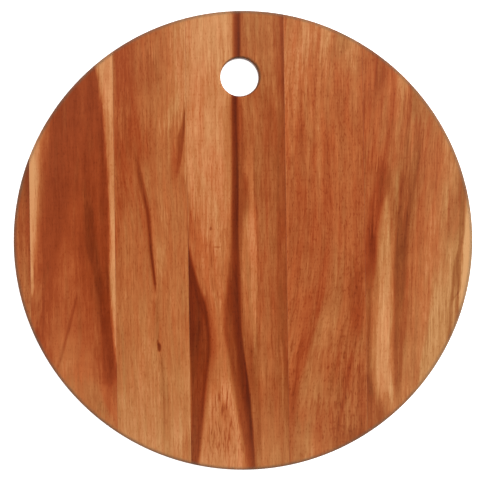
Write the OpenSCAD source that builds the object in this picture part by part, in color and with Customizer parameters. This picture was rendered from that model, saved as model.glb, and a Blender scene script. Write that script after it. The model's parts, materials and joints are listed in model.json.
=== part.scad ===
// Round wooden pizza serving board: six staves glued edge to edge, with a hole to hang it by.
// Millimetres. Z is up, the underside lies on Z = 0, and the hole lies on +Y from the middle.

/* [Board] */
// Diameter of the finished board
board_d = 360; // [300:5:450]
// Thickness of the planed panel
board_t = 15; // [10:1:25]
// Radius of the eased edge round the rim, above and below
rim_ease_r = 2; // [0.5:0.5:4]

/* [Hanging hole] */
// Diameter of the bore
hole_d = 30; // [20:1:40]
// Distance from the rim to the middle of the hole
hole_inset = 52; // [35:1:80]
// Radius of the eased edge at both mouths of the hole
hole_ease_r = 1.5; // [0.5:0.5:4]

/* [Staves] */
// Width left of the first stave at its widest, from the rim to its glue line
left_edge_w = 13; // [8:0.5:30]
// Width of the third stave
stave_3_w = 57; // [40:0.5:80]
// Width of the fourth stave, which holds the hole
stave_4_w = 77; // [65:0.5:95]
// Distance from the left face of the fourth stave to the middle of the board
stave_4_inset = 43.5; // [25:0.5:55]
// Width of the fifth stave
stave_5_w = 61.5; // [40:0.5:80]
// Thickness of the film of glue in each joint
glue_t = 0.1; // [0.1:0.05:0.5]
// Lean of the glue lines from the line through the middle and the hole, in degrees
panel_lean = 0.6; // [-3:0.1:3]

/* [Hidden] */
$fn = 96;
board_r = board_d / 2;
hole_r = hole_d / 2;
hole_y = board_r - hole_inset;

// How far the cutters run past the board's faces
overrun = 5;

// Flats that make up each eased edge
ease_steps = 6;

// Left face of each film of glue, measured across the staves from the middle of the board.
// The second and the last stave take whatever width is left.
glue_x = [
    left_edge_w - board_r,
    -stave_4_inset - stave_3_w - 2 * glue_t,
    -stave_4_inset - glue_t,
    -stave_4_inset + stave_4_w,
    -stave_4_inset + stave_4_w + glue_t + stave_5_w
];
last_stave = len(glue_x);

STAVES = [
    "stave_1_left_edge",
    "stave_2",
    "stave_3",
    "stave_4_with_hole",
    "stave_5",
    "stave_6_right_edge"
];
STAVE_TONES = ["#8c4a2c", "#93401f", "#b06a3c", "#a9683f", "#ad5f38", "#a8623a"];
GLUE_LINES = [for (joint = [1 : last_stave]) str("glue_line_", joint)];
GLUE_TONE = "#6b3a22";

// Faces of stave number i, counted from 0 at the left edge
function stave_left(i) = i == 0 ? -board_r - overrun : glue_x[i - 1] + glue_t;
function stave_right(i) = i == last_stave ? board_r + overrun : glue_x[i];

// Points along an arc about a centre, from one angle to another
function arc(centre, r, from, to) =
    [for (i = [0 : ease_steps])
        let (angle = from + (to - from) * i / ease_steps)
        centre + r * [cos(angle), sin(angle)]];

// Half of the board's section, with both rim edges eased
module board_section() {
    ease_x = board_r - rim_ease_r;
    polygon(concat(
        [[0, 0]],
        arc([ease_x, rim_ease_r], rim_ease_r, -90, 0),
        arc([ease_x, board_t - rim_ease_r], rim_ease_r, 0, 90),
        [[0, board_t]]
    ));
}

// Half of the section of what is cut away for the hole, with both mouths flared
module hole_section() {
    mouth_r = hole_r + hole_ease_r;
    polygon(concat(
        [[0, -overrun], [mouth_r, -overrun]],
        arc([mouth_r, hole_ease_r], hole_ease_r, 270, 180),
        arc([mouth_r, board_t - hole_ease_r], hole_ease_r, 180, 90),
        [[mouth_r, board_t + overrun], [0, board_t + overrun]]
    ));
}

// The round board in one piece, before it is parted into staves
module panel() {
    difference() {
        rotate_extrude()
            board_section();
        translate([0, hole_y, 0])
            rotate_extrude()
                hole_section();
    }
}

// The slice of the panel between two lines that lie along the staves
module slice(from_x, to_x) {
    intersection() {
        panel();
        rotate([0, 0, -panel_lean])
            translate([from_x, -board_r - overrun, -overrun])
                cube([to_x - from_x, board_d + 2 * overrun, board_t + 2 * overrun]);
    }
}

// Stave number i, counted from 0 at the left edge
module stave(i) {
    color(STAVE_TONES[i])
        slice(stave_left(i), stave_right(i));
}

// Film of glue between stave number i and the next one
module glue_line(i) {
    color(GLUE_TONE)
        slice(glue_x[i], glue_x[i] + glue_t);
}

for (i = [0 : last_stave])
    stave(i);
for (i = [0 : last_stave - 1])
    glue_line(i);
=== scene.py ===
"""Dresses the round pizza board: six figured staves, their glue lines, a white floor and soft light."""

import json
import math
from dataclasses import dataclass, field

import bmesh
import bpy
from mathutils import Matrix, Vector


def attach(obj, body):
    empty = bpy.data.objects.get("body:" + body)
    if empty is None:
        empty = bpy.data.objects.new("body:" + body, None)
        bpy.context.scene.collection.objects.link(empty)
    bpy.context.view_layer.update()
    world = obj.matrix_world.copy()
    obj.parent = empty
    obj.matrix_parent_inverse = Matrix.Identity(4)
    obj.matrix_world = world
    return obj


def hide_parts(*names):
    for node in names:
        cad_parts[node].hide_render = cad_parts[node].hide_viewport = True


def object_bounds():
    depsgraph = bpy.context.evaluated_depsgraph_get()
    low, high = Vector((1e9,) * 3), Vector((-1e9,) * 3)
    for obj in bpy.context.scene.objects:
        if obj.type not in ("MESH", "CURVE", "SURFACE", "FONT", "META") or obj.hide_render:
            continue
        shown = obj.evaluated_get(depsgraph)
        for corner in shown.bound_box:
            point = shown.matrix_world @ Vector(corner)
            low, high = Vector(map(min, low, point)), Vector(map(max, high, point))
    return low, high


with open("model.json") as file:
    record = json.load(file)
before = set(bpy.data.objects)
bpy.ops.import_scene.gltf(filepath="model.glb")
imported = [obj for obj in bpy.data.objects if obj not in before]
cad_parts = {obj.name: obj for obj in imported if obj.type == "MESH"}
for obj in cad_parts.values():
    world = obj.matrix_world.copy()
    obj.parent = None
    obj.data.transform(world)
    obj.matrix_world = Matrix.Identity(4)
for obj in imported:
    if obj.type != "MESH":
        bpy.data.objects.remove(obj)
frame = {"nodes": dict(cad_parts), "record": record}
cad_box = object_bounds()

# Sizes, in metres unless a name says millimetres
MM = 0.001
BOARD_R = cad_box[1].y
BOARD_T = cad_box[1].z
RIM_EASE_R = 2 * MM
HOLE_EASE_R = 1.5 * MM
PANEL_LEAN = math.radians(0.6)
HOLE = next(mount for mount in frame["record"]["mounts"] if mount["name"] == "hanging_hole")
HOLE_Y = HOLE["pos_m"][1]
HOLE_PLACE_MM = (-HOLE_Y * math.sin(PANEL_LEAN) / MM, HOLE_Y * math.cos(PANEL_LEAN) / MM)

# Fineness of the round edges
RIM_SEGMENTS = 360
HOLE_SEGMENTS = 96
EASE_STEPS = 8
SHARP_ANGLE = math.radians(35)


# Wood figure: what a stave looks like, in millimetres across and along the staves
@dataclass
class Streak:
    """A band of another colour along the wood. The path holds (along, left, right) from the top down.
    soft is the width of its left and right edge, fade the length of its upper and lower end.
    A flecked band shows only as short dashes. ragged is how much its outline breaks up into fibres."""

    tone: float
    tan: float
    path: list
    soft: tuple = (1.5, 1.5)
    fade: tuple = (20, 20)
    flecked: bool = False
    ragged: float = 1.0


@dataclass
class Knot:
    """A small dark eye in the wood: its middle, its half width and half length, and its change of tone."""

    across: float
    along: float
    half_width: float
    half_length: float
    tone: float


@dataclass
class Stave:
    """Base tone, share of tan against red, guide lines of the grain, and the figure that lies on them.
    slant is how far the figure shifts with depth, follow how much of the guides' lean the fibres take.
    The values from rings on are the strengths of the fine grain, in levels of tone."""

    tone: float
    tan: float
    guides: list
    streaks: list
    knots: list = field(default_factory=list)
    slant: float = 0.4
    follow: float = 0.35
    bored: bool = False
    rings: float = 18
    lines: float = 37
    fibre: float = 35
    pores: float = 16
    mottle: float = 13
    ripple: float = 5


# The figure of each stave from left to right
FIGURE_1 = [
    Streak(-23, 0.22, [(80, -185, -166), (20, -185, -166)], fade=(0, 30)),
    Streak(-14, -0.05, [(70, -171, -166), (20, -170, -166), (-40, -169.5, -166)], (3, 1), (0, 15)),
    Streak(6, 0.15, [(-5, -185, -166), (-60, -185, -166)], fade=(25, 0)),
]

FIGURE_2 = [
    # Stripes in the red upper half
    Streak(7, 0.0, [(105, -137, -129), (60, -137, -127), (5, -134, -124)], (5, 5), (30, 20)),
    Streak(-7, 0.0, [
        (125, -150, -130), (100, -150, -130), (60, -152, -132), (40, -153, -138), (0, -152, -143),
        (-18, -153, -146),
    ], (5, 5), (10, 15)),
    Streak(-8, 0.0, [(84, -138, -128), (28, -137, -128)], (4, 4), (18, 14)),
    # Lighter orange wood that takes up the lower half
    Streak(20, 0.0, [
        (15, -144, -133), (-10, -146, -130), (-40, -152, -125), (-65, -156, -117), (-90, -161, -111),
        (-110, -163, -106), (-130, -165, -98),
    ], (10, 10), (30, 0)),
    Streak(15, 0.15, [(-60, -151, -132), (-85, -151, -122), (-110, -151, -114), (-150, -150, -104)],
           (10, 10), (35, 0)),
    Streak(19, 0.2, [(-102, -105, -97), (-125, -105.5, -97), (-150, -107, -97)], (2, 1), (10, 0)),
    Streak(8, 0.0, [(-72, -141, -134), (-104, -142, -134)], (3, 3), (10, 12)),
    Streak(-8, 0.3, [(-124, -118, -111), (-138, -117, -107)], (3, 4), (8, 6)),
    # Umber streak that reddens and widens towards the right joint
    Streak(-7, 0.12, [(90, -125, -121), (45, -125, -120), (15, -124.5, -117)], (3, 3), (30, 10)),
    Streak(-19, 0.15, [
        (38, -125, -118), (15, -125.5, -115.5), (0, -124.5, -114.8), (-10, -122, -113.8),
        (-20, -119, -112.6), (-30, -117.2, -110.8), (-50, -114.6, -109), (-70, -112.6, -107.5),
        (-90, -110, -106),
    ], (2, 3), (25, 35)),
    Streak(-7, -0.05, [
        (-15, -114, -106), (-40, -113, -105.5), (-70, -112.5, -103), (-90, -112, -103), (-115, -113, -104),
    ], (3, 2), (30, 6), ragged=0.4),
    Streak(-9, -0.05, [(-62, -117, -109), (-80, -117, -107), (-105, -116, -104), (-115, -113, -102)],
           (5, 3), (25, 6), ragged=0.4),
    # Pale sapwood along the left joint
    Streak(30, 0.28, [
        (105, -178, -149), (85, -175, -152), (70, -172, -154.4), (50, -168, -156.5), (30, -168, -158),
        (10, -168, -160), (-10, -168, -162), (-30, -168, -164),
    ], (0.5, 9), (0, 35), ragged=0.3),
    Streak(45, 0.35, [
        (90, -176, -157.5), (70, -172, -159.8), (50, -168, -160.4), (30, -168, -161.2), (10, -168, -162.6),
        (-10, -168, -163.6), (-30, -168, -164.4), (-52, -168, -165.6),
    ], (0.5, 6), (0, 65), ragged=0.3),
    Streak(24, 0.2, [(-10, -168, -164.8), (-30, -168, -164.8), (-48, -168, -165.4)], (0.5, 1.2), (14, 12)),
    Streak(8, 0.05, [(8, -164, -157), (-58, -165, -157)], (2, 4), (15, 15)),
    Streak(22, 0.2, [(0, -168, -166), (-25, -168, -162), (-50, -168, -160), (-75, -168, -159)],
           (0.5, 5), (20, 12)),
    # Pale sapwood along the right joint
    Streak(-8, 0.0, [(114, -116, -111.5), (60, -112, -106), (0, -110, -106)], (5, 1), (14, 30)),
    Streak(48, 0.38, [
        (150, -118, -99), (128, -112.2, -99), (105, -109.2, -99), (90, -107.6, -99), (58, -106.1, -99),
        (22, -104.6, -99), (-4, -104.4, -99), (-28, -105.8, -99), (-55, -105.3, -99), (-80, -102.6, -99),
        (-100, -101, -99),
    ], (2.2, 0.3), (0, 14)),
    Streak(14, 0.1, [(155, -117, -99), (125, -109, -99), (85, -103.5, -99)], (3, 0.3), (0, 25)),
    Streak(15, 0.1, [
        (35, -104.5, -99), (-5, -103.6, -99), (-40, -104.2, -99), (-70, -103, -99), (-95, -101.5, -99),
    ], (1.5, 0.3), (20, 14)),
    # Thin slanted lines low on the left
    Streak(-22, 0.0, [(-38, -131, -129.4), (-60, -137, -135), (-75, -141.4, -139), (-104, -150, -147.6)],
           (1.8, 1.4), (12, 12)),
    Streak(-6, 0.0, [(-20, -134, -128), (-60, -134, -127), (-100, -131, -124)], (3, 3), (15, 20)),
    Streak(-8, 0.0, [(-38, -141.5, -140), (-55, -141, -139), (-72, -142, -140.5)], (1.4, 1.4), (12, 10)),
    # Patches of another hue
    Streak(0, -0.12, [(28, -158, -142), (-32, -158, -144)], (4, 4), (15, 15)),
    Streak(0, -0.2, [(-58, -106, -99), (-100, -103, -99)], (2, 0.3), (12, 12)),
    Streak(0, 0.34, [(-100, -146, -122), (-145, -134, -101)], (6, 4), (15, 0)),
]

FIGURE_3 = [
    # Redder wood high on the left, lighter wood high on the right and at the foot
    Streak(-12, -0.22, [
        (165, -99, -82), (110, -98, -82), (70, -100, -74), (40, -100, -84), (10, -102, -95),
        (-30, -104, -98),
    ], (4, 12), (0, 40)),
    Streak(-4, -0.1, [(165, -104, -62), (120, -104, -66), (90, -104, -70)], (1, 10), (0, 40)),
    Streak(-6, -0.05, [(108, -100, -72), (80, -100, -64), (52, -100, -76)], (2, 9), (20, 20)),
    Streak(13, 0.08, [(178, -58, -40), (130, -56, -40), (100, -58, -43), (75, -62, -49)], (9, 2), (0, 35)),
    Streak(5, 0.12, [(122, -50, -45), (108, -55, -48), (95, -63, -54), (80, -69, -60)], (5, 5), (10, 12)),
    Streak(11, 0.2, [(-55, -104, -40), (-175, -104, -40)], (1, 1), (70, 0)),
    Streak(10, 0.1, [(-125, -104, -40), (-175, -104, -40)], (1, 1), (40, 0)),
    Streak(6, 0.1, [(-35, -87, -74), (-70, -82, -72), (-112, -79, -68)], (6, 4), (25, 25)),
    Streak(-5, 0.05, [(-50, -101, -92), (-125, -101, -91)], (1, 4), (25, 25)),
    Streak(-12, -0.12, [(-148, -58, -44), (-178, -57, -44)], (4, 1), (15, 0)),
    Streak(-9, 0.15, [(154, -79, -63), (140, -79, -64), (112, -77, -61)], (4, 4), (14, 12)),
    Streak(0, 0.2, [(-28, -52, -43), (-68, -52, -43)], (4, 0.5), (15, 15)),
    # Thin dark streak with a knot below it
    Streak(-8, -0.15, [(45, -87, -79), (10, -84, -75), (-15, -78, -71), (-35, -74, -69)],
           (6, 1.5), (25, 15)),
    Streak(-29, -0.1, [
        (75, -84.4, -82.8), (55, -82.6, -79.2), (45, -81.4, -77), (35, -79, -74.4), (25, -76.8, -72.8),
        (10, -75, -71.6), (-5, -74.2, -71), (-20, -72.8, -70), (-38, -70.8, -68.5),
    ], (1.6, 1.1), (25, 4), ragged=0.8),
    Streak(-22, -0.1, [
        (55, -81.8, -80.4), (40, -78.8, -77.2), (25, -75.8, -74), (10, -74.3, -72.5), (-10, -73, -71.3),
        (-37, -70.2, -68.8),
    ], (0.8, 0.5), (30, 3), ragged=0.6),
    Streak(9, 0.1, [(12, -70.5, -63), (-15, -68.5, -59), (-34, -68, -60)], (1, 5), (18, 15)),
    Streak(-13, 0.25, [(-38, -70, -68.3), (-60, -69.8, -67.6), (-78, -69.6, -67.2)], (1, 1), (8, 2)),
    Streak(-11, 0.15, [(-86, -68, -65.3), (-110, -67.5, -61), (-140, -67, -60.5), (-175, -65, -58)],
           (1.5, 2), (4, 0)),
    Streak(-12, 0.1, [(-86, -67.4, -66.2), (-95, -66.5, -65), (-125, -65, -63.7), (-165, -65.5, -64)],
           (0.8, 0.8), (6, 20)),
    Streak(-10, 0.0, [(-95, -62.5, -61.3), (-125, -61.5, -60), (-160, -60.5, -59)], (0.8, 0.8), (15, 20)),
    # Patches a little darker or lighter than the ground
    Streak(-5, 0.0, [(5, -101, -93), (-45, -101, -95)], (1, 4), (15, 15)),
    Streak(6, 0.05, [(45, -66, -56), (12, -66, -56)], (4, 4), (12, 12)),
    Streak(6, 0.0, [(-12, -57, -50), (-62, -58, -52)], (3, 3), (15, 15)),
    # Dark red wedge at the right joint
    Streak(-31, -0.1, [
        (112, -45.6, -43.4), (100, -46.2, -44.6), (90, -47.8, -44.9), (80, -50.6, -45.6),
        (70, -50.6, -46.8), (60, -51.4, -48.4), (45, -54, -52),
    ], (1.8, 0.8), (15, 25)),
    Streak(-12, 0.1, [(106, -45.4, -44.2), (90, -46.6, -45), (76, -48.4, -46.4)],
           (0.8, 0.5), (8, 16), ragged=0.5),
    Streak(13, 0.0, [(112, -44.6, -42), (45, -44.6, -42)], (0.4, 0.3), (8, 8)),
    Streak(9, 0.1, [(182, -47.5, -42), (106, -46.6, -42)], (1.5, 0.3), (0, 10)),
    Streak(-10, -0.15, [(85, -53, -47), (60, -56, -49), (35, -58, -54)], (4, 3), (25, 25)),
    # Faint lines
    Streak(-8, 0.0, [(85, -98, -96), (50, -93.5, -91.5), (28, -90, -88)], (1.6, 1.6), (25, 10)),
    Streak(-7, -0.1, [(34, -91.5, -90), (10, -87, -85.3), (-12, -82, -80)], (1.4, 1.4), (8, 20)),
    Streak(-8, 0.0, [(145, -88.5, -87), (112, -87.2, -85.3), (95, -85.6, -84)], (1.4, 1.4), (15, 10)),
    Streak(-9, 0.0, [(55, -47.5, -46), (38, -45.3, -43.5)], (1, 1), (10, 4)),
    Streak(-7, 0.3, [(-55, -97, -95.4), (-95, -96, -94.5), (-135, -95, -93.3)], (1, 1), (15, 15)),
    Streak(-7, 0.2, [(-70, -52, -50.5), (-110, -53, -51.3), (-150, -52, -50.7)], (1, 1), (15, 15)),
]

FIGURE_4 = [
    # Honey wood high on the left, redder wood lower down, light wood at the foot
    Streak(14, 0.1, [
        (180, -46, -6), (110, -46, -8), (60, -46, -9), (30, -40, -10), (0, -32, -14), (-35, -30, -16),
    ], (4, 3), (0, 75)),
    Streak(9, 0.2, [(180, -38, -8), (118, -34, -12)], (12, 6), (0, 40)),
    Streak(10, 0.05, [(8, -28, -12), (-8, -26, -13), (-20, -27, -15.5), (-54, -26, -17)], (5, 2), (12, 15)),
    Streak(-5, -0.15, [(30, -46, -38), (5, -46, -30), (-20, -46, -14), (-60, -32, -14), (-105, -26, -16)],
           (1, 8), (25, 25)),
    Streak(-10, -0.05, [(35, -42, -12), (0, -38, -13), (-30, -34, -15), (-70, -27, -16)],
           (3, 3), (20, 25), flecked=True),
    Streak(15, 0.08, [(-140, -33, -3), (-180, -40, 2)], (3, 3), (35, 0)),
    Streak(7, -0.15, [(-105, -26, -12), (-130, -29, -9), (-160, -33, -3)], (4, 4), (15, 25)),
    Streak(-7, -0.1, [(55, -42, -32), (30, -40, -30), (8, -36, -30)], (3, 4), (15, 15)),
    Streak(15, -0.05, [
        (-102, -20, -14), (-115, -19.5, -11.5), (-126, -16.5, -9.5), (-136, -13, -7), (-148, -10.5, -5.5),
        (-160, -9, -4.5), (-180, -9, -3.5),
    ], (2.5, 1.5), (10, 0)),
    Streak(-31, -0.1, [(-108, -22, -14), (-130, -26, -9), (-150, -30, -4), (-180, -34, 0)],
           (4, 4), (15, 20), flecked=True),
    Streak(-12, -0.1, [(-118, -21, -15), (-145, -21, -13)], (3, 3), (10, 12)),
    Streak(7, 0.0, [(-2, -39, -34), (-28, -36, -31)], (2, 3), (8, 8)),
    Streak(6, 0.0, [(92, -26, -17), (52, -26, -18)], (3, 3), (12, 12)),
    # Brown wood on the right of the stripe
    Streak(-20, 0.05, [
        (180, -1, 36), (112, -4, 36), (0, -4, 36), (-60, -4, 36), (-100, 0, 36), (-180, 5, 36),
    ], (2.5, 1), (0, 0)),
    Streak(9, 0.2, [(180, 2, 27), (140, 8, 25.5), (120, 15, 27), (100, 16, 28)], (3, 3), (0, 40)),
    Streak(3, 0.05, [(116, -1, 13), (90, 0, 9)], (1, 2), (3, 15)),
    Streak(11, 0.2, [(-125, 10, 36), (-180, 8, 36)], (3, 1), (45, 0)),
    Streak(5, 0.0, [(30, 12, 20), (-60, 12, 20), (-130, 12, 24), (-178, 10, 28)], (3, 3), (30, 0)),
    Streak(-10, -0.05, [
        (185, 30, 36), (120, 29.5, 36), (90, 26.5, 36), (0, 26, 36), (-60, 26, 36), (-100, 31, 36),
        (-178, 33, 36),
    ], (2.4, 1), (0, 40)),
    Streak(-10, 0.0, [(185, 31.5, 36), (70, 31.3, 36), (5, 31.3, 36)], (1.2, 1), (0, 30)),
    Streak(16, -0.1, [
        (88, 4, 7.2), (58, 1.4, 7.6), (44, 3.4, 8), (30, 4, 8.6), (20, 2, 9.6), (10, -0.5, 9.8),
        (-10, -1.6, 9.6), (-40, -0.8, 9.2), (-60, 0.8, 8.8), (-80, 3, 8), (-105, 5, 7),
    ], (3, 1.4), (35, 30)),
    Streak(9, -0.15, [(32, 4, 9.6), (5, 3, 9.9), (-28, 3, 9.6)], (2, 1.4), (15, 22)),
    Streak(10, 0.0, [(28, 0.5, 8), (0, 2, 9), (-25, 5, 9.4), (-62, 6, 9.6)], (2, 1), (15, 12)),
    Streak(-8, 0.0, [(-45, -3, 2), (-75, -2, 4), (-100, 0, 7), (-125, 2, 7)], (1, 3), (25, 15)),
    # Maroon stripe with its darkest line at the right edge
    Streak(-11, -0.05, [
        (115, -13, -8), (75, -14.6, -10.5), (52, -17, -11), (30, -17.5, -13), (12, -21, -16),
    ], (4, 2), (10, 14)),
    Streak(-38, -0.1, [
        (180, -6.4, -0.2), (150, -6.4, -0.4), (112, -9, -3.2), (60, -9.5, -3.2), (30, -9.8, -3.2),
        (0, -10.4, -3.8), (-20, -11.9, -3.4), (-38, -14, -2.8), (-55, -16.2, -2.6), (-70, -16.6, -2.4),
        (-85, -14.3, -1.2), (-100, -11.8, 0.6), (-120, -8.6, 3.3), (-140, -5.4, 4.6), (-160, -2.4, 5.3),
        (-180, -0.6, 6.3),
    ], (3, 1.4), (0, 0)),
    Streak(-26, -0.1, [
        (180, -4.4, -0.8), (150, -4.4, -0.8), (112, -6.8, -3.4), (50, -6.5, -3.8), (0, -7.8, -4.2),
        (-30, -10, -4.4), (-60, -8.6, -3.4), (-90, -6, -0.6), (-110, -4.4, 1.6), (-130, -1, 3.8),
        (-150, 1, 5), (-180, 2.5, 6),
    ], (3.5, 1.5), (0, 30)),
    Streak(-20, -0.05, [
        (122, -7.8, -4.4), (75, -8.2, -4.4), (45, -8.8, -4.2), (15, -9.4, -4.4), (0, -9.4, -4.8),
        (-18, -11, -4.8),
    ], (1.2, 0.8), (4, 30)),
    Streak(-13, 0.0, [
        (-12, -12, -5), (-45, -13.5, -4.8), (-70, -11, -4), (-92, -7, -1), (-108, -7.4, 2),
        (-120, -4.4, 2.4), (-138, -1, 3),
    ], (2, 1), (20, 14)),
    Streak(-17, -0.05, [(115, -3, 1), (75, -3, 1), (58, -3, -0.6), (44, -3, 2.4), (0, -3.4, -1)],
           (0.5, 3), (8, 12)),
    Streak(-9, 0.0, [(-68, 3, 7), (-95, 4, 9), (-125, 6.5, 11), (-160, 8, 11.5), (-180, 8.5, 11)],
           (2, 2), (20, 0)),
    # Dark wedge that grows from the left joint
    Streak(-24, -0.2, [
        (-38, -34, -30), (-60, -31, -25.5), (-80, -30, -24), (-100, -31, -25.3), (-120, -34, -29.5),
        (-150, -37, -33),
    ], (2, 4), (12, 25)),
    Streak(-50, -0.1, [
        (5, -46, -43), (-10, -46, -42), (-20, -46, -39.6), (-30, -46, -36.8), (-40, -46, -33.6),
        (-50, -46, -30.6), (-60, -46, -28.8), (-85, -43.8, -27.6), (-100, -43.4, -29.2),
        (-120, -43.2, -32.2), (-140, -43.2, -33.6), (-160, -44.4, -35.6), (-180, -46, -38.4),
    ], (1.5, 2.4), (12, 0)),
    Streak(-22, -0.1, [
        (0, -46, -42.4), (-20, -46, -40), (-40, -46, -36), (-55, -46, -32.5), (-85, -44, -36),
        (-110, -42, -37),
    ], (2, 4), (10, 35)),
    Streak(-7, 0.1, [(-58, -36, -34.6), (-80, -34.5, -33), (-110, -36, -34.6)], (1, 1), (15, 15)),
    # Red lines ahead of the wedge
    Streak(-8, -0.25, [(30, -43, -40), (5, -41, -37.5), (-8, -39, -36.4)], (2, 2), (15, 12)),
    Streak(-15, 0.05, [(48, -45, -42.6), (30, -45, -41.2), (10, -45, -41.8), (-4, -45, -42)],
           (0.6, 1), (15, 6)),
    # Patches of another hue
    Streak(0, -0.2, [(2, 5, 24), (-28, 6, 26), (-64, 8, 24)], (4, 4), (15, 15)),
    Streak(0, -0.15, [(108, -45, -28), (85, -45, -28), (60, -36, -14), (40, -24, -10), (8, -16, -9)],
           (4, 3), (12, 12)),
]

FIGURE_5 = [
    # Lighter wood at the top
    Streak(15, 0.1, [(185, 30, 98), (95, 30, 98)], (1, 1), (0, 80)),
    Streak(6, 0.1, [(185, 46, 98), (120, 40, 98)], (6, 1), (0, 60)),
    Streak(7, 0.0, [(165, 33, 51), (88, 33, 49)], (1, 4), (20, 30)),
    Streak(7, 0.05, [(154, 43, 49), (120, 43, 49)], (3, 3), (10, 12)),
    Streak(-7, 0.0, [(165, 93, 98), (125, 93, 98)], (2, 1), (10, 15)),
    Streak(-13, 0.2, [(174, 73, 85), (154, 72, 85), (138, 69, 74)], (3, 3), (0, 8)),
    Streak(10, 0.0, [(130, 87, 97), (96, 87, 97)], (3, 2), (12, 12)),
    Streak(0, 0.25, [(168, 76, 92), (118, 76, 90)], (4, 4), (10, 20)),
    Streak(8, 0.0, [(150, 37, 46), (120, 35.5, 45), (90, 34.5, 43), (55, 33.5, 41)], (2, 4), (25, 25)),
    Streak(8, -0.05, [
        (140, 33.4, 37), (75, 33.4, 38), (55, 33.4, 35.4), (-65, 33, 35), (-100, 33, 37.5),
        (-120, 33, 38.5),
    ], (0.3, 1.4), (25, 10)),
    # Light streaks
    Streak(9, 0.05, [(136, 58.5, 63.5), (90, 58.5, 63), (60, 57, 62), (20, 55, 59)], (2.5, 2.5), (12, 40)),
    Streak(9, 0.1, [(178, 60, 70), (150, 62.5, 69), (118, 62, 68)], (2.5, 2.5), (0, 25)),
    Streak(8, 0.15, [(178, 48, 55), (150, 49, 54), (125, 50, 54), (110, 51, 54)], (2.5, 2), (0, 12)),
    Streak(6, 0.08, [(135, 48, 56), (64, 48, 55)], (2.5, 2.5), (20, 15)),
    Streak(7, 0.0, [(-62, 36, 46), (-90, 34, 42)], (3, 3), (12, 12)),
    # Darker stripes
    Streak(-8, 0.0, [(110, 45, 49), (75, 43, 48), (40, 44, 49)], (3, 3), (30, 20)),
    Streak(-4, 0.0, [(40, 46, 51), (-20, 47.5, 53), (-48, 43, 50)], (3, 3), (20, 20)),
    Streak(-7, 0.0, [(64, 36, 42), (25, 36, 44), (-35, 35, 43)], (2, 3), (20, 20)),
    Streak(-8, -0.12, [(70, 88, 92), (20, 88, 93), (-25, 86.5, 92)], (2, 3), (25, 25)),
    # Slanted dark band and the silvery one on its right
    Streak(-11, -0.1, [
        (100, 64, 67), (60, 63.5, 69), (30, 63, 69.5), (0, 61.5, 68), (-25, 57.5, 65), (-45, 53.5, 61.5),
        (-65, 48, 57), (-85, 41, 50), (-105, 36, 44), (-130, 32, 40), (-152, 29, 36),
    ], (5, 4.5), (35, 20)),
    Streak(2, 0.34, [
        (10, 69, 75), (-20, 68, 77), (-45, 64, 77), (-62, 59, 76), (-78, 53, 72), (-92, 49, 66),
        (-108, 46, 63), (-125, 43, 62), (-150, 45, 63),
    ], (7, 9), (30, 30)),
    Streak(8, 0.15, [(-45, 63, 74), (-65, 57, 71), (-92, 49, 60)], (3, 5), (20, 15)),
    Streak(10, 0.05, [(-106, 48, 60), (-118, 50, 61), (-134, 52, 60)], (4, 5), (8, 8)),
    Streak(7, 0.15, [(-138, 58, 66), (-170, 60, 68)], (3, 3), (12, 0)),
    Streak(11, 0.1, [(-146, 40, 54), (-160, 40, 60), (-178, 38, 61)], (4, 2), (14, 0)),
    Streak(-13, 0.0, [(-142, 68, 98), (-166, 68, 98)], (3, 1), (12, 0)),
    Streak(-10, 0.0, [(-24, 84, 93.6), (-50, 83, 93.4), (-80, 83, 92)], (3, 1.5), (12, 15)),
    Streak(0, 0.25, [(-55, 74, 98), (-100, 66, 98), (-165, 60, 98)], (6, 1), (30, 0)),
    # Red lines low on the right
    Streak(-7, 0.0, [
        (10, 88, 94), (-30, 82, 95), (-60, 80, 93), (-90, 75, 88), (-115, 73, 80), (-140, 71, 78),
        (-160, 70, 74),
    ], (4, 4), (30, 20)),
    Streak(-12, -0.1, [(-92, 86, 96), (-120, 87.5, 96), (-155, 84, 93)], (4, 1), (20, 0)),
    Streak(-11, -0.1, [(-55, 80, 82), (-90, 71.5, 74), (-115, 68.5, 71)], (1.6, 2), (20, 15)),
    Streak(-12, -0.1, [
        (-88, 82.5, 85), (-105, 79.5, 82), (-120, 77, 79.4), (-140, 72.5, 75), (-158, 69.5, 71),
    ], (1.6, 2), (12, 10)),
    Streak(-16, -0.1, [(-75, 74, 92), (-110, 68, 90), (-160, 62, 86)], (5, 5), (20, 10), flecked=True),
    # Patches of another hue
    Streak(0, 0.45, [(-132, 39, 52), (-178, 36, 48)], (4, 4), (15, 0)),
    Streak(0, -0.15, [(-82, 58, 94), (-124, 52, 90)], (6, 5), (15, 20)),
]

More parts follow.
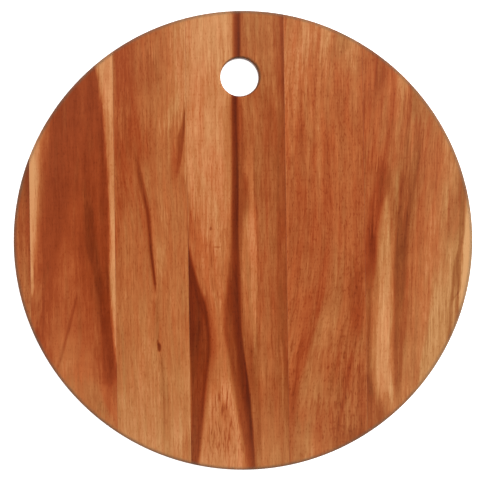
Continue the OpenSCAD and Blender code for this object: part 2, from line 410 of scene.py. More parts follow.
FIGURE_6 = [
    # Brown, orange and tan grounds
    Streak(-6, -0.1, [(135, 93, 112), (95, 93, 104), (40, 98, 118)], (1, 6), (20, 20)),
    Streak(-17, -0.1, [(152, 102, 114), (130, 104, 113), (110, 104, 108)], (2.5, 2.5), (0, 14)),
    Streak(8, 0.0, [(108, 97, 108), (70, 98, 109), (52, 100, 107)], (3, 3), (15, 12)),
    Streak(13, 0.05, [(136, 119, 130), (104, 125, 132)], (3, 2), (0, 12)),
    Streak(10, 0.0, [(108, 141, 151), (62, 142, 150)], (3, 3), (15, 15)),
    Streak(-10, 0.25, [
        (95, 128, 140), (70, 124, 140), (50, 121, 138), (20, 118.5, 134), (-10, 118.4, 130),
        (-45, 118.8, 126), (-60, 119, 125),
    ], (4, 3), (40, 20)),
    Streak(9, 0.05, [
        (110, 152, 160), (80, 156, 164), (55, 156, 164), (30, 146, 160), (0, 140, 152), (-30, 134, 148),
        (-80, 128, 146),
    ], (6, 6), (35, 30)),
    Streak(16, 0.6, [
        (10, 158, 172), (-20, 153, 170), (-40, 148, 168), (-60, 145, 168), (-80, 143, 166),
        (-110, 138, 158),
    ], (7, 3), (25, 0)),
    Streak(9, 0.35, [(-30, 154, 176), (-60, 150, 172), (-95, 140, 158)], (5, 3), (25, 0)),
    Streak(8, 0.3, [(-50, 126, 150), (-100, 120, 145), (-135, 110, 140)], (8, 6), (40, 0)),
    Streak(9, 0.3, [(135, 124, 155), (100, 146, 170), (60, 160, 188), (20, 162, 190), (-60, 160, 190)],
           (9, 1), (15, 30)),
    Streak(10, 0.35, [(50, 157, 163), (20, 155.5, 160.4), (-12, 153.4, 157.6)], (2.5, 1.5), (15, 12)),
    # Thin dark line high on the left and the light wood beside it
    Streak(-11, -0.2, [(138, 120.5, 123.5), (95, 115.5, 118.5), (65, 110.5, 114), (42, 106.5, 110.5)],
           (2, 2), (10, 15)),
    Streak(9, 0.2, [
        (138, 123, 131), (100, 120, 127), (76, 120, 123.4), (60, 121.4, 124.8), (40, 119.4, 122.2),
        (14, 120.8, 122.6),
    ], (1.6, 2), (10, 14)),
    # Dark red patch at the left joint
    Streak(-20, -0.2, [
        (68, 107, 116), (40, 102.5, 115), (25, 99.5, 109), (10, 97, 106), (-10, 94, 105), (-30, 93, 103),
        (-50, 93, 99),
    ], (4, 3), (25, 25)),
    Streak(-14, -0.2, [(12, 97.5, 102.5), (-10, 98, 103.5), (-30, 95, 102)], (2.5, 2.5), (10, 12)),
    Streak(-13, -0.1, [(16, 99, 103.4), (0, 98.8, 103.6), (-16, 99, 103.6)], (1.4, 1), (10, 8)),
    Streak(-15, 0.3, [(-28, 96, 99.6), (-60, 96, 99.4), (-100, 96, 99.4), (-128, 96, 100.4)],
           (1.4, 1), (18, 8)),
    # Brown wedge at the foot of the left joint
    Streak(-17, 0.1, [(-100, 93, 97), (-115, 93, 100), (-130, 93, 108), (-150, 93, 116)], (1, 4), (14, 0)),
    # Pale honey streak, brighter towards its foot
    Streak(17, 0.36, [
        (42, 111.5, 113.5), (30, 109.5, 114), (20, 108, 114.5), (0, 106.5, 115.6), (-20, 105, 116),
        (-40, 102.8, 116.2), (-60, 101.6, 116.4), (-80, 100.4, 114.6), (-100, 99.2, 114.6),
        (-115, 100.2, 115), (-142, 106, 117.4),
    ], (6.5, 2.2), (25, 26), ragged=0.2),
    Streak(17, -0.06, [
        (-10, 108, 113.5), (-30, 107, 114.5), (-55, 105, 114.5), (-80, 104, 114), (-105, 104, 113.6),
        (-118, 106.6, 114.6), (-139, 110, 116.4),
    ], (4.5, 3), (40, 26), ragged=0.2),
    Streak(9, 0.12, [(-100, 110.5, 115), (-132, 112, 117)], (2.4, 1.6), (12, 14), ragged=0.2),
    Streak(-10, -0.1, [(-104, 106.6, 109.6), (-132, 108, 111.4)], (1.4, 1.4), (8, 10), ragged=0.5),
    # Dark line on its right, which runs up across the stave
    Streak(-24, 0.18, [
        (30, 122.4, 132), (10, 120.4, 129), (-10, 118.8, 126.5), (-30, 117.6, 126), (-60, 118.2, 126),
        (-90, 117, 124.4), (-118, 117, 121.6), (-136, 118, 122),
    ], (1.4, 3), (30, 25)),
    Streak(-12, 0.0, [(-48, 127.6, 129.8), (-80, 125.4, 127.6), (-114, 126, 129)], (1.2, 1.2), (12, 10)),
    Streak(-11, 0.0, [(58, 124.5, 134), (40, 123, 133), (24, 117, 131), (8, 118.4, 130)],
           (1.5, 4), (22, 10)),
    Streak(-16, 0.0, [
        (110, 140, 142.5), (75, 138, 140.6), (60, 136.6, 139.4), (40, 132.2, 135.2), (20, 128.2, 131.8),
        (0, 126, 129.6), (-42, 125.4, 128.4),
    ], (1.4, 1.6), (30, 16)),
    Streak(-8, -0.1, [(60, 143, 144.5), (20, 141, 142.6), (-15, 137, 138.6)], (1.4, 1.4), (20, 15)),
    # Grey-brown heart lines and pale sapwood at the right rim
    Streak(-14, 0.15, [
        (60, 170, 176), (40, 164.6, 172), (20, 161.2, 168), (8, 160.2, 164), (-8, 159, 161.6),
    ], (1.2, 3), (15, 15)),
    Streak(-30, 0.15, [
        (8, 169, 172.6), (-5, 168.6, 171.4), (-20, 164.8, 170.2), (-32, 163.2, 169.6), (-40, 162.8, 169.8),
        (-50, 161.2, 164), (-65, 160.4, 163), (-86, 157.6, 161.4),
    ], (1.2, 1), (12, 10)),
    Streak(-24, 0.45, [
        (52, 173.4, 178), (40, 171.4, 176.5), (25, 170.2, 174), (10, 169.4, 174), (-6, 169, 172),
    ], (1.2, 1), (8, 12)),
    Streak(-28, -0.1, [(-40, 165.6, 169.2), (-50, 165.4, 169), (-70, 164, 167.4)], (1, 1), (6, 6)),
    Streak(-9, 0.2, [(-48, 147, 161), (-92, 140, 161)], (4, 3), (20, 0)),
    Streak(-10, -0.05, [(-6, 156, 162), (-30, 156, 162)], (2, 2), (8, 8)),
    Streak(32, 0.5, [
        (42, 177, 190), (20, 174.5, 190), (0, 173, 190), (-20, 172, 190), (-35, 170.5, 190),
        (-60, 168, 190),
    ], (2.5, 1), (20, 12)),
    Streak(14, 0.1, [(20, 175.4, 190), (0, 174, 190), (-20, 173, 190), (-40, 171.5, 190)],
           (1.5, 1), (10, 10)),
    # Patches of another hue
    Streak(0, 0.25, [(62, 112, 122), (35, 110.5, 122), (2, 113, 121)], (3, 3), (15, 15)),
    Streak(0, -0.15, [(138, 112, 126), (85, 115, 126)], (4, 4), (10, 15)),
    Streak(0, -0.18, [(145, 96, 107), (114, 96, 106)], (2, 3), (8, 12)),
    Streak(0, -0.15, [(78, 97, 108), (15, 96, 106)], (2, 3), (15, 15)),
    Streak(0, -0.15, [(12, 144, 156), (-32, 142, 152)], (4, 4), (15, 15)),
    Streak(-9, 0.4, [(124, 133.5, 150), (100, 133.5, 150), (84, 136, 152)], (2.5, 3), (0, 15)),
]

STAVES = {
    "stave_1_left_edge": Stave(
        tone=167, tan=0.24, slant=0.5,
        guides=[(70, -180, -167), (-70, -182, -167)],
        streaks=FIGURE_1,
    ),
    "stave_2": Stave(
        tone=151, tan=-0.04, slant=-0.3, rings=24, mottle=18, lines=26, fibre=25, pores=10,
        guides=[(150, -160, -101), (40, -160, -101), (-40, -163, -98), (-140, -172, -90)],
        streaks=FIGURE_2,
    ),
    "stave_3": Stave(
        tone=181, tan=0.36, slant=0.35, pores=11,
        guides=[(150, -104, -44), (60, -101, -46), (0, -94, -42), (-60, -94, -43), (-150, -92, -42)],
        streaks=FIGURE_3,
        knots=[Knot(-67.4, -82.7, 1.4, 3.2, -58), Knot(-68.5, -79, 0.9, 2.2, -34)],
    ),
    "stave_4_with_hole": Stave(
        tone=188, tan=0.33, slant=-0.25, rings=22, pores=12, bored=True,
        guides=[(175, -43, 33), (60, -43, 33), (-20, -46, 34), (-60, -40, 34), (-110, -44, 36),
                (-175, -50, 36)],
        streaks=FIGURE_4,
        knots=[Knot(-25.5, 9.5, 0.8, 1.4, -34), Knot(-20.5, -5, 2.6, 0.8, -20)],
    ),
    "stave_5": Stave(
        tone=174.5, tan=0.16, slant=0.3, follow=0.8, ripple=8, pores=15,
        guides=[(175, 38, 96), (100, 33, 94), (30, 33, 94), (-20, 29, 94), (-60, 20, 90), (-100, 8, 84),
                (-170, -4, 80)],
        streaks=FIGURE_5,
    ),
    "stave_6_right_edge": Stave(
        tone=176, tan=0.28, slant=-0.35, rings=22, lines=44, pores=12,
        guides=[(140, 112, 185), (95, 106, 178), (50, 98, 170), (0, 91, 164), (-50, 88, 160),
                (-130, 84, 154)],
        streaks=FIGURE_6,
    ),
}

# Wood tones: display level of red, then green and blue on the red side and on the tan side
RED_SIDE, TAN_SIDE = 1, 2
TONES = [
    (100, (38, 18), (47, 25)),
    (130, (51, 24), (65, 33)),
    (160, (71, 35), (94, 49)),
    (190, (102, 55), (130, 77)),
    (220, (143, 93), (163, 109)),
]
ALBEDO = 0.88
VEIL = 0.008
HUE_SWING = 0.9
# End grain is darker; its tone is deepened as painted shade for the walls of the hole
END_GRAIN_AND_SHADE_TONE = -34
END_GRAIN_FACING = (0.25, 0.95)
KNOT_EDGE = (2.0, 0.1)
JOINT_TONE = -5
JOINT_REACH_MM = 0.5
WHITE = (1, 1, 1, 1)

# Grain: size across, along and in depth in millimetres, seed and detail of each noise
GRAIN = {
    "bend": ((40, 110, 40), 3, 1.0),
    "rings": ((6, 240, 6), 7, 2.0),
    "lines": ((1.9, 48, 1.9), 12, 1.0),
    "fibre": ((0.95, 9, 0.95), 17, 1.0),
    "mottle": ((13, 18, 13), 22, 1.0),
    "ripple": ((10, 1.7, 10), 27, 0.0),
    "pores": ((0.8, 2.4, 0.8), 41, 0.0),
    "hue": ((5, 40, 5), 47, 1.0),
    "flecks": ((0.8, 10, 0.8), 53, 1.0),
}
SEED_STEP = 31.0
SEED_SPREAD = (1.0, 1.7, 0.6)
PORE_STEP = (0.08, 0.3)
FLECK_STEP = (0.0, 0.18)

# Surface of the wood and of the glue
ROUGHNESS = 0.45
ROUGHNESS_SWING = 0.2
SPECULAR = 0.12
BUMP_STRENGTH = 0.25
BUMP_HEIGHT = 0.05 * MM
GLUE_LEVELS = (120, 66, 36)
GLUE_SCALE = 400.0
GLUE_STOPS = ((0.3, 1.0), (0.7, 1.6))

# Dry wood towards the rim, and painted shade on the eased rim edges: spans in millimetres from the rim or
# from a face, shares and display levels
DRY_RIM = (-75, 0)
DRY_SHARE = 0.032
DRY_LEVELS = (180, 140, 112)
PAINTED_RIM_SHADE_SPAN = (-3.6, -0.6)
PAINTED_RIM_SHADE_DEPTH = (4.0, 1.5)
PAINTED_RIM_SHADE_SHARE = 0.62
PATCHY = 0.9
PAINTED_RIM_SHADE_LEVELS = (104, 84, 64)

# Painted shade at the mouth of the hole, darker above and to the right where the eased mouth is turned from
# the lamp, in millimetres
PAINTED_MOUTH_SHADE_SHIFT = (0.8, 0.6)
PAINTED_MOUTH_SHADE_SPAN = (1.6, 0.2)
PAINTED_MOUTH_SHADE_SHARE = 0.7
PAINTED_MOUTH_SHADE_LEVELS = (86, 58, 37)

# How far the streaks bend and how their edges and ends break up, in millimetres or as a share of softness
BEND = 2.0
FRAY = 0.8
FRAY_OF_SOFT = 0.2
BLUR_OF_SOFT = 0.7
FRAYED_ENDS = 18
LINES_IN_FRAY = 1.4

# The span in millimetres that the curves of the figure cover, from minus half to plus half
SPAN = 400

# Columns of a path or of guide lines, whose rows are (along, left, right)
LEFT, RIGHT = 1, 2


def linear(level):
    """Linear light of a display level from 0 to 255, by the sRGB formula."""
    share = level / 255
    return share / 12.92 if share <= 0.04045 else ((share + 0.055) / 1.055) ** 2.4


def colour(levels, strength=1.0, veil=0.0):
    """Linear colour with its alpha of three display levels, less the light that the finish sends back."""
    return (*(max(linear(level) - veil, 0) * strength for level in levels), 1)


def unit(mm):
    """A place in millimetres as a share of the span."""
    return mm / SPAN + 0.5


class Graph:
    """Adds shader nodes to a new material in the order of use. Inputs are numbers or earlier outputs."""

    def __init__(self, name):
        self.material = bpy.data.materials.new(name)
        self.material.use_nodes = True
        self.tree = self.material.node_tree
        self.tree.nodes.clear()

    def add(self, kind, inputs=None, **settings):
        node = self.tree.nodes.new(kind)
        for name, value in settings.items():
            setattr(node, name, value)
        for key, value in (inputs or {}).items():
            if isinstance(value, bpy.types.NodeSocket):
                self.tree.links.new(value, node.inputs[key])
            else:
                node.inputs[key].default_value = value
        return node

    def math(self, operation, *values):
        return self.add("ShaderNodeMath", dict(enumerate(values)), operation=operation).outputs[0]

    def step(self, value, start, end):
        """Rises smoothly from 0 where value is start to 1 where it is end."""
        inputs = {"Value": value, "From Min": start, "From Max": end}
        return self.add("ShaderNodeMapRange", inputs, interpolation_type="SMOOTHSTEP").outputs["Result"]

    def curve(self, value, points):
        """A smooth curve through points whose x and y lie between 0 and 1."""
        node = self.add("ShaderNodeFloatCurve", {"Value": value})
        line = node.mapping.curves[0]
        ordered = sorted(points)
        line.points[0].location = ordered[0]
        line.points[1].location = ordered[-1]
        for point in ordered[1:-1]:
            line.points.new(*point)
        for point in line.points:
            point.handle_type = "AUTO_CLAMPED"
        node.mapping.update()
        return node.outputs[0]

    def noise(self, place, size, seed, detail):
        """Noise centred on 0 whose grains have about this size in millimetres along each axis."""
        scaled = self.add("ShaderNodeMapping", {
            "Vector": place,
            "Location": tuple(share * seed for share in SEED_SPREAD),
            "Scale": tuple(1 / length for length in size),
        }).outputs[0]
        raw = self.add("ShaderNodeTexNoise", {"Vector": scaled, "Scale": 1.0, "Detail": detail}).outputs[0]
        return self.math("SUBTRACT", raw, 0.5)

    def mix(self, share, first, second):
        """The first colour where share is 0, the second where it is 1."""
        node = self.add("ShaderNodeMix", data_type="RGBA", clamp_factor=True)
        for key, value in (("Factor_Float", share), ("A_Color", first), ("B_Color", second)):
            socket = next(item for item in node.inputs if item.identifier == key)
            if isinstance(value, bpy.types.NodeSocket):
                self.tree.links.new(value, socket)
            else:
                socket.default_value = value
        return next(item for item in node.outputs if item.identifier == "Result_Color")

    def ramp(self, value, stops):
        """A colour ramp through (position, colour) stops."""
        node = self.add("ShaderNodeValToRGB", {"Fac": value})
        elements = node.color_ramp.elements
        while len(elements) < len(stops):
            elements.new(0.5)
        for element, (position, shade) in zip(elements, stops):
            element.position = position
            element.color = shade
        return node.outputs[0]


def edge_curve(graph, along, rows, column):
    """Where the left or right edge of a streak or of the guide lines lies, as a share of the span."""
    return graph.curve(along, [(unit(row[0]), unit(row[column])) for row in rows])


def frayed_edge(graph, inside, fray, ragged, soft):
    """Rises from 0 to 1 across an edge that breaks up into fibres. inside is the distance past the edge."""
    frayed = graph.math("MULTIPLY_ADD", fray, ragged * (FRAY + FRAY_OF_SOFT * soft) / SPAN, inside)
    return graph.step(frayed, -BLUR_OF_SOFT * soft / SPAN, BLUR_OF_SOFT * soft / SPAN)


def streak_mask(graph, across, along, fray, streak):
    """How much of a streak there is at a place: 1 inside, 0 outside."""
    left_soft, right_soft = streak.soft
    left = edge_curve(graph, along, streak.path, LEFT)
    rise = frayed_edge(graph, graph.math("SUBTRACT", across, left), fray, streak.ragged, left_soft)
    right = edge_curve(graph, along, streak.path, RIGHT)
    fall = frayed_edge(graph, graph.math("SUBTRACT", right, across), fray, streak.ragged, right_soft)
    return graph.math("MULTIPLY", rise, fall)


def faded(graph, mask, along, fray, streak):
    """The mask of a streak, faded out at its two ends."""
    top, bottom = streak.path[0][0], streak.path[-1][0]
    top_fade, bottom_fade = streak.fade
    frayed = graph.math("MULTIPLY_ADD", fray, streak.ragged * FRAYED_ENDS / SPAN, along)
    if top_fade:
        mask = graph.math("MULTIPLY", mask, graph.step(frayed, unit(top), unit(top - top_fade)))
    if bottom_fade:
        mask = graph.math("MULTIPLY", mask, graph.step(frayed, unit(bottom), unit(bottom + bottom_fade)))
    return mask


def knot_mask(graph, across, along, knot):
    """1 in the eye of a knot, 0 outside it."""
    wide = graph.math("MULTIPLY", graph.math("SUBTRACT", across, unit(knot.across)), SPAN / knot.half_width)
    long = graph.math("MULTIPLY", graph.math("SUBTRACT", along, unit(knot.along)), SPAN / knot.half_length)
    reach = graph.math("ADD", graph.math("POWER", wide, 2.0), graph.math("POWER", long, 2.0))
    return graph.step(reach, *KNOT_EDGE)


def grain_places(graph, across, along, depth, stave):
    """The place in the wood, in millimetres: for the rings, which keep to the guides, and for the fibres."""
    left = edge_curve(graph, along, stave.guides, LEFT)
    right = edge_curve(graph, along, stave.guides, RIGHT)
    share = graph.math("DIVIDE", graph.math("SUBTRACT", across, left), graph.math("SUBTRACT", right, left))
    width = stave.guides[0][RIGHT] - stave.guides[0][LEFT]
    bowed = graph.math("MULTIPLY", share, width)
    straight = graph.math("MULTIPLY", across, SPAN * (1 - stave.follow))
    leaning = graph.math("MULTIPLY_ADD", bowed, stave.follow, straight)
    length = graph.math("MULTIPLY", along, SPAN)
    return [
        graph.add("ShaderNodeCombineXYZ", {"X": flow, "Y": length, "Z": depth}).outputs[0]
        for flow in (bowed, leaning)
    ]


def distance(graph, axes, middle):
    """Distance in millimetres from an upright axis through a point of the board."""
    legs = [graph.math("SUBTRACT", axes[axis], middle[i]) for i, axis in enumerate("XY")]
    return graph.math("SQRT", graph.math("ADD", *(graph.math("MULTIPLY", leg, leg) for leg in legs)))


def wood(name, stave, seed, edges):
    """Oiled wood with the stave's own figure. edges are the faces of its joints, left and right."""
    graph = Graph(name)

    def grain(kind, spot):
        """One of the noises at a place in the wood."""
        size, own_seed, detail = GRAIN[kind]
        return graph.noise(spot, size, seed + own_seed, detail)

    where = graph.add("ShaderNodeTexCoord")
    place = graph.add("ShaderNodeMapping", {
        "Vector": where.outputs["Object"],
        "Rotation": (0, 0, PANEL_LEAN),
        "Scale": (1 / MM,) * 3,
    }).outputs[0]
    axes = graph.add("ShaderNodeSeparateXYZ", {"Vector": place}).outputs
    depth = graph.math("SUBTRACT", axes["Z"], BOARD_T / MM)

    # Coordinates that bend with the wood
    bend = graph.math("MULTIPLY", grain("bend", place), BEND)
    slanted = graph.math("MULTIPLY_ADD", depth, stave.slant, axes["X"])
    across = graph.math("MULTIPLY_ADD", graph.math("ADD", slanted, bend), 1 / SPAN, 0.5)
    along = graph.math("MULTIPLY_ADD", axes["Y"], 1 / SPAN, 0.5)
    ringed, fibrous = grain_places(graph, across, along, depth, stave)

    # Growth rings and fine grain
    rings = grain("rings", ringed)
    lines = grain("lines", fibrous)
    fibre = grain("fibre", fibrous)
    mottle = grain("mottle", ringed)
    ripple = grain("ripple", fibrous)
    pores = graph.step(grain("pores", fibrous), *PORE_STEP)
    tone = graph.math("MULTIPLY_ADD", rings, stave.rings, stave.tone)
    for layer, strength in ((lines, stave.lines), (fibre, stave.fibre), (mottle, stave.mottle),
                            (ripple, stave.ripple), (pores, -stave.pores)):
        tone = graph.math("MULTIPLY_ADD", layer, strength, tone)
    tan = graph.math("MULTIPLY_ADD", grain("hue", ringed), HUE_SWING, stave.tan)
    fray = graph.math("MULTIPLY_ADD", lines, LINES_IN_FRAY, fibre)

    # Figure
    flecks = graph.step(grain("flecks", fibrous), *FLECK_STEP)
    for streak in stave.streaks:
        mask = faded(graph, streak_mask(graph, across, along, fray, streak), along, fray, streak)
        if streak.flecked:
            mask = graph.math("MULTIPLY", mask, flecks)
        tone = graph.math("MULTIPLY_ADD", mask, streak.tone, tone)
        tan = graph.math("MULTIPLY_ADD", mask, streak.tan, tan)
    for knot in stave.knots:
        tone = graph.math("MULTIPLY_ADD", knot_mask(graph, across, along, knot), knot.tone, tone)

    # Oil thins out towards the rim, and painted shade darkens the eased rim edges near both faces
    rim_reach = graph.math("SUBTRACT", distance(graph, axes, (0, 0)), BOARD_R / MM)
    dry = graph.step(rim_reach, *DRY_RIM)
    from_middle = graph.math("ABSOLUTE", graph.math("ADD", depth, BOARD_T / MM / 2))
    from_face = graph.math("SUBTRACT", BOARD_T / MM / 2, from_middle)
    rim_shade = graph.math("MULTIPLY", graph.step(rim_reach, *PAINTED_RIM_SHADE_SPAN), graph.step(from_face, *PAINTED_RIM_SHADE_DEPTH))

    # Glue soaked into the wood at the joints, and end grain, which drinks more oil and is darkened further
    # as painted shade for the walls of the hole
    for edge in edges:
        gap = graph.math("ABSOLUTE", graph.math("SUBTRACT", axes["X"], edge))
        soaked = graph.step(gap, JOINT_REACH_MM, 0.0)
        tone = graph.math("MULTIPLY_ADD", soaked, JOINT_TONE, tone)
    facing = graph.add("ShaderNodeVectorMath", {
        0: where.outputs["Normal"],
        1: (math.sin(PANEL_LEAN), math.cos(PANEL_LEAN), 0),
    }, operation="DOT_PRODUCT").outputs["Value"]
    end_grain_and_shade = graph.step(graph.math("ABSOLUTE", facing), *END_GRAIN_FACING)
    tone = graph.math("MULTIPLY_ADD", end_grain_and_shade, END_GRAIN_AND_SHADE_TONE, tone)

    # Colour
    lowest = TONES[0][0]
    tone_span = TONES[-1][0] - lowest
    position = graph.math("MULTIPLY_ADD", tone, 1 / tone_span, -lowest / tone_span)
    sides = [
        graph.ramp(position, [
            ((row[0] - lowest) / tone_span, colour((row[0], *row[side]), ALBEDO, VEIL)) for row in TONES
        ])
        for side in (RED_SIDE, TAN_SIDE)
    ]
    shade = graph.mix(tan, *sides)
    shade = graph.mix(graph.math("MULTIPLY", dry, DRY_SHARE), shade, colour(DRY_LEVELS))
    # Painted shade on the eased rim edges, made patchy along the grain
    patchy = graph.math("MULTIPLY_ADD", fray, PATCHY, 1.0)
    rim_shade = graph.math("MULTIPLY", rim_shade, patchy)
    shade = graph.mix(graph.math("MULTIPLY", rim_shade, PAINTED_RIM_SHADE_SHARE), shade, colour(PAINTED_RIM_SHADE_LEVELS))
    # Painted shade around the mouth of the hole, heaviest above and to the right
    if stave.bored:
        middle = [centre + shift for centre, shift in zip(HOLE_PLACE_MM, PAINTED_MOUTH_SHADE_SHIFT)]
        hole_reach = graph.math("SUBTRACT", distance(graph, axes, middle), HOLE["dims"]["r_mm"])
        mouth_shade = graph.math("MULTIPLY", graph.step(hole_reach, *PAINTED_MOUTH_SHADE_SPAN), patchy)
        shade = graph.mix(graph.math("MULTIPLY", mouth_shade, PAINTED_MOUTH_SHADE_SHARE), shade, colour(PAINTED_MOUTH_SHADE_LEVELS))

    # Surface
    height = graph.math("SUBTRACT", fibre, pores)
    bump = graph.add("ShaderNodeBump", {
        "Height": height,
        "Strength": BUMP_STRENGTH,
        "Distance": BUMP_HEIGHT,
    })
    roughness = graph.math("MULTIPLY_ADD", fibre, ROUGHNESS_SWING, ROUGHNESS)
    surface = graph.add("ShaderNodeBsdfPrincipled", {
        "Base Color": shade,
        "Roughness": roughness,
        "Normal": bump.outputs[0],
        "Specular IOR Level": SPECULAR,
    })
    graph.add("ShaderNodeOutputMaterial", {"Surface": surface.outputs[0]})
    return graph.material


def glue(name):
    """Cured wood glue, brown and slightly uneven."""
    graph = Graph(name)
    where = graph.add("ShaderNodeTexCoord")
    uneven = graph.add("ShaderNodeTexNoise", {"Vector": where.outputs["Object"], "Scale": GLUE_SCALE})
    stops = [(position, colour(GLUE_LEVELS, strength)) for position, strength in GLUE_STOPS]
    shade = graph.ramp(uneven.outputs[0], stops)
    surface = graph.add("ShaderNodeBsdfPrincipled", {"Base Color": shade, "Roughness": ROUGHNESS})
    graph.add("ShaderNodeOutputMaterial", {"Surface": surface.outputs[0]})
    return graph.material


def paper(name):
    """White floor that stays white where the board shades it a little."""
    graph = Graph(name)
    surface = graph.add("ShaderNodeBsdfPrincipled", {
        "Base Color": (0.9, 0.9, 0.9, 1),
        "Roughness": 0.9,
        "Specular IOR Level": 0.1,
        "Emission Color": WHITE,
        "Emission Strength": 1.0,
    })
    graph.add("ShaderNodeOutputMaterial", {"Surface": surface.outputs[0]})
    return graph.material


# Shapes
def arc(centre, r, start, end):
    """Points along an arc about a centre, with angles in degrees."""
    angles = [math.radians(start + (end - start) * i / EASE_STEPS) for i in range(EASE_STEPS + 1)]
    return [(centre[0] + r * math.cos(angle), centre[1] + r * math.sin(angle)) for angle in angles]


def revolve(profile, middle, segments):
    """A closed solid turned about an upright axis. The profile holds (radius, height), bottom first."""
    mesh = bmesh.new()
    turns = [2 * math.pi * i / segments for i in range(segments)]
    rings = [
        [mesh.verts.new((middle[0] + r * math.cos(turn), middle[1] + r * math.sin(turn), height))
         for turn in turns]
        for r, height in profile
    ]
    for lower, upper in zip(rings, rings[1:]):
        for i in range(segments):
            j = (i + 1) % segments
            mesh.faces.new((lower[i], lower[j], upper[j], upper[i]))
    mesh.faces.new(reversed(rings[0]))
    mesh.faces.new(rings[-1])
    return mesh


def new_object(name, mesh):
    """An object in the scene that holds the mesh."""
    data = bpy.data.meshes.new(name)
    mesh.to_mesh(data)
    mesh.free()
    made = bpy.data.objects.new(name, data)
    bpy.context.scene.collection.objects.link(made)
    return made


def round_panel():
    """The whole round board with its eased rim and its flared hole, before it is parted into staves."""
    ease = BOARD_R - RIM_EASE_R
    rim = arc((ease, RIM_EASE_R), RIM_EASE_R, -90, 0) + arc((ease, BOARD_T - RIM_EASE_R), RIM_EASE_R, 0, 90)
    panel = new_object("panel", revolve(rim, (0, 0), RIM_SEGMENTS))
    hole_r = HOLE["dims"]["r_mm"] * MM
    mouth = hole_r + HOLE_EASE_R
    overrun = HOLE_EASE_R
    bore = (
        [(mouth, -overrun)]
        + arc((mouth, HOLE_EASE_R), HOLE_EASE_R, 270, 180)
        + arc((mouth, BOARD_T - HOLE_EASE_R), HOLE_EASE_R, 180, 90)
        + [(mouth, BOARD_T + overrun)]
    )
    cutter = new_object("cutter", revolve(bore, HOLE["pos_m"][:2], HOLE_SEGMENTS))
    cut = panel.modifiers.new("hole", "BOOLEAN")
    cut.object = cutter
    cut.operation = "DIFFERENCE"
    cut.solver = "EXACT"
    drilled = bmesh.new()
    drilled.from_object(panel, bpy.context.evaluated_depsgraph_get())
    for tool in (panel, cutter):
        bpy.data.objects.remove(tool)
    return drilled


def across_of(point):
    """Distance of a point across the staves from the middle of the board."""
    return point.x * math.cos(PANEL_LEAN) - point.y * math.sin(PANEL_LEAN)


def faces_of(node):
    """Left and right face of a stave or glue line, measured across the staves on the CAD node."""
    places = [across_of(vertex.co) for vertex in frame["nodes"][node].data.vertices]
    return min(places), max(places)


def is_joint(place):
    """True for a face inside the board, False where the rim bounds the stave."""
    return abs(place) < BOARD_R - JOINT_REACH_MM * MM


def sliced(panel, left, right):
    """The part of the panel between two faces that lie along the staves."""
    mesh = panel.copy()
    normal = Vector((math.cos(PANEL_LEAN), -math.sin(PANEL_LEAN), 0))
    for place, outward in ((left, -normal), (right, normal)):
        if not is_joint(place):
            continue
        geometry = mesh.verts[:] + mesh.edges[:] + mesh.faces[:]
        bmesh.ops.bisect_plane(
            mesh, geom=geometry, plane_co=normal * place, plane_no=outward, clear_outer=True
        )
        open_edges = [edge for edge in mesh.edges if edge.is_boundary]
        bmesh.ops.edgeloop_fill(mesh, edges=open_edges)
    bmesh.ops.recalc_face_normals(mesh, faces=mesh.faces[:])
    return mesh


def dress(panel, node, material):
    """The finely rounded piece that stands for a CAD node."""
    piece = new_object(node + "_finished", sliced(panel, *faces_of(node)))
    piece.data.shade_smooth()
    piece.data.set_sharp_from_angle(angle=SHARP_ANGLE)
    piece.modifiers.new("even_faces", "WEIGHTED_NORMAL").keep_sharp = True
    piece.data.materials.append(material)
    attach(piece, "root")
    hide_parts(node)


# Pieces
panel = round_panel()
for number, (node, stave) in enumerate(STAVES.items(), start=1):
    edges = [place / MM for place in faces_of(node) if is_joint(place)]
    dress(panel, node, wood(f"wood_{number}", stave, SEED_STEP * number, edges))
glue_material = glue("cured_glue")
for node in sorted(frame["nodes"]):
    if node.startswith("glue_line"):
        dress(panel, node, glue_material)
panel.free()

# Floor
FLOOR_R = 6.0
FLOOR_SEGMENTS = 96
floor_mesh = bmesh.new()
bmesh.ops.create_circle(floor_mesh, cap_ends=True, segments=FLOOR_SEGMENTS, radius=FLOOR_R)
floor = new_object("floor", floor_mesh)
floor.data.materials.append(paper("white_paper"))

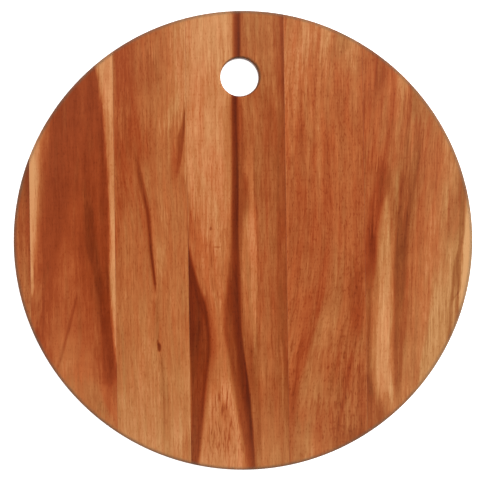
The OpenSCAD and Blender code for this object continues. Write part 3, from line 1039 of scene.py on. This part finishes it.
# Camera almost straight above, at the photo's framing of 482 by 482 pixels
FRAME_PX = 482
MIDDLE_PX = (243.7, 240.3)
BOARD_R_PX = 229.62
TURN = math.radians(-1.42)
CAMERA_PLACE = Vector((-0.06, 0, 2.0))
SENSOR_WIDTH_MM = 36
FAR_CLIP = 100
lens_data = bpy.data.cameras.new("camera")
camera = bpy.data.objects.new("camera", lens_data)
bpy.context.scene.collection.objects.link(camera)
bpy.context.scene.camera = camera
metres_per_px = BOARD_R / BOARD_R_PX
right = Vector((math.cos(TURN), math.sin(TURN), 0))
up = Vector((-math.sin(TURN), math.cos(TURN), 0))
aim = (-right * (MIDDLE_PX[0] - FRAME_PX / 2) * metres_per_px
       - up * (FRAME_PX / 2 - MIDDLE_PX[1]) * metres_per_px)
aim.z = BOARD_T
look = -CAMERA_PLACE.normalized()
side = look.cross(up).normalized()
camera.matrix_world = Matrix((side, side.cross(look), -look)).transposed().to_4x4()
camera.location = aim + CAMERA_PLACE
lens_data.sensor_width = SENSOR_WIDTH_MM
lens_data.lens = lens_data.sensor_width * (CAMERA_PLACE.length + RIM_EASE_R) / (FRAME_PX * metres_per_px)
lens_data.clip_end = FAR_CLIP

# Light: a soft lamp from the right, a wider one from the hole's side, and a surround darker overhead
SKY_HEIGHTS = (0.3, 0.9)
SKY_STRENGTHS = (0.8, 0.1)
LAMPS = [
    ("key", (4.0, 1.0, 5.2), 3.0, 300),
    ("fill", (-1.0, 4.4, 5.2), 4.8, 184),
]
for name, place, size, power in LAMPS:
    lamp_data = bpy.data.lights.new(name, "AREA")
    lamp_data.shape = "DISK"
    lamp_data.size = size
    lamp_data.energy = power
    lamp = bpy.data.objects.new(name, lamp_data)
    lamp.location = place
    lamp.rotation_euler = (-Vector(place)).to_track_quat("-Z", "Y").to_euler()
    bpy.context.scene.collection.objects.link(lamp)
world = bpy.data.worlds.new("surround")
bpy.context.scene.world = world
world.use_nodes = True
nodes, links = world.node_tree.nodes, world.node_tree.links
direction = nodes.new("ShaderNodeTexCoord")
height = nodes.new("ShaderNodeSeparateXYZ")
links.new(direction.outputs["Generated"], height.inputs[0])
falloff = nodes.new("ShaderNodeMapRange")
links.new(height.outputs["Z"], falloff.inputs["Value"])
for end, level, strength in zip(("Min", "Max"), SKY_HEIGHTS, SKY_STRENGTHS):
    falloff.inputs["From " + end].default_value = level
    falloff.inputs["To " + end].default_value = strength
links.new(falloff.outputs["Result"], nodes["Background"].inputs["Strength"])
nodes["Background"].inputs["Color"].default_value = WHITE
bpy.context.scene.view_settings.view_transform = "Standard"
